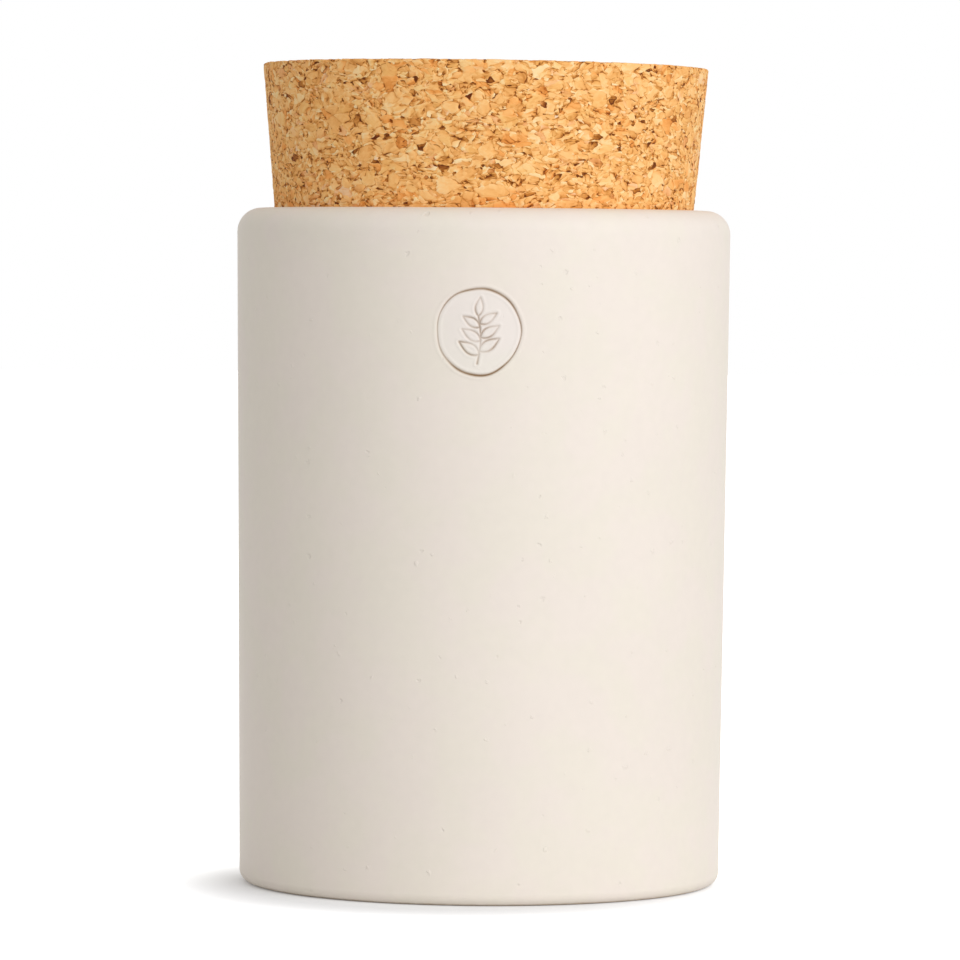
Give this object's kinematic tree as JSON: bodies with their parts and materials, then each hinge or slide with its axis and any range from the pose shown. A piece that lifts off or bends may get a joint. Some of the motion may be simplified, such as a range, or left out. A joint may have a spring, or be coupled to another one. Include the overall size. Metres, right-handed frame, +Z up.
{
  "type": "stoneware spice jar with cork stopper",
  "caption": "Straight-sided stoneware spice jar with a rounded rim, a recessed foot and a tapered stopper of pressed cork granules.",
  "frame": {"origin": "centre of the plane that the jar's foot ring stands on", "axes": "+Z up along the jar's axis, -Y towards the front with the pressed seal, +X to the right seen from the front"},
  "size_m": [0.0749, 0.075, 0.1242],
  "materials": {
    "glaze": "satin",
    "cork": "matte"
  },
  "bodies": {
    "root": {"jar": "glaze", "stopper": "cork"}
  },
  "joints": []
}
